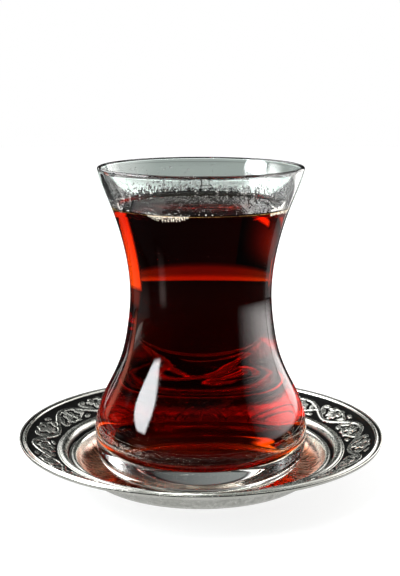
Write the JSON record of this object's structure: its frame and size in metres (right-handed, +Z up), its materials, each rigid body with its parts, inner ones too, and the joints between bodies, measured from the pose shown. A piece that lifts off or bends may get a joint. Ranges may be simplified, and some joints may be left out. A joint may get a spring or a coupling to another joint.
{
  "type": "glass of tea on a saucer",
  "caption": "Tulip-shaped clear glass with a narrow waist and thick base, filled with dark red-brown tea, standing in the well of a dished ornamental metal saucer.",
  "frame": {"origin": "middle of the saucer's underside, on the surface it stands on", "axes": "+Z up along the common axis of glass and saucer; +X and +Y lie in the table, with the picture taken from the -Y side"},
  "size_m": [0.1052, 0.1052, 0.0895],
  "materials": {
    "clear_glass": "clear polished pressed glass, faint grey-green tint",
    "tea": "clear liquid, nearly black red-brown in depth and orange-red at thin edges",
    "antiqued_silver": "polished silver-coloured metal with dark oxidised recesses"
  },
  "bodies": {
    "root": {"glass": "clear_glass", "tea": "tea", "saucer": "antiqued_silver"}
  },
  "joints": []
}
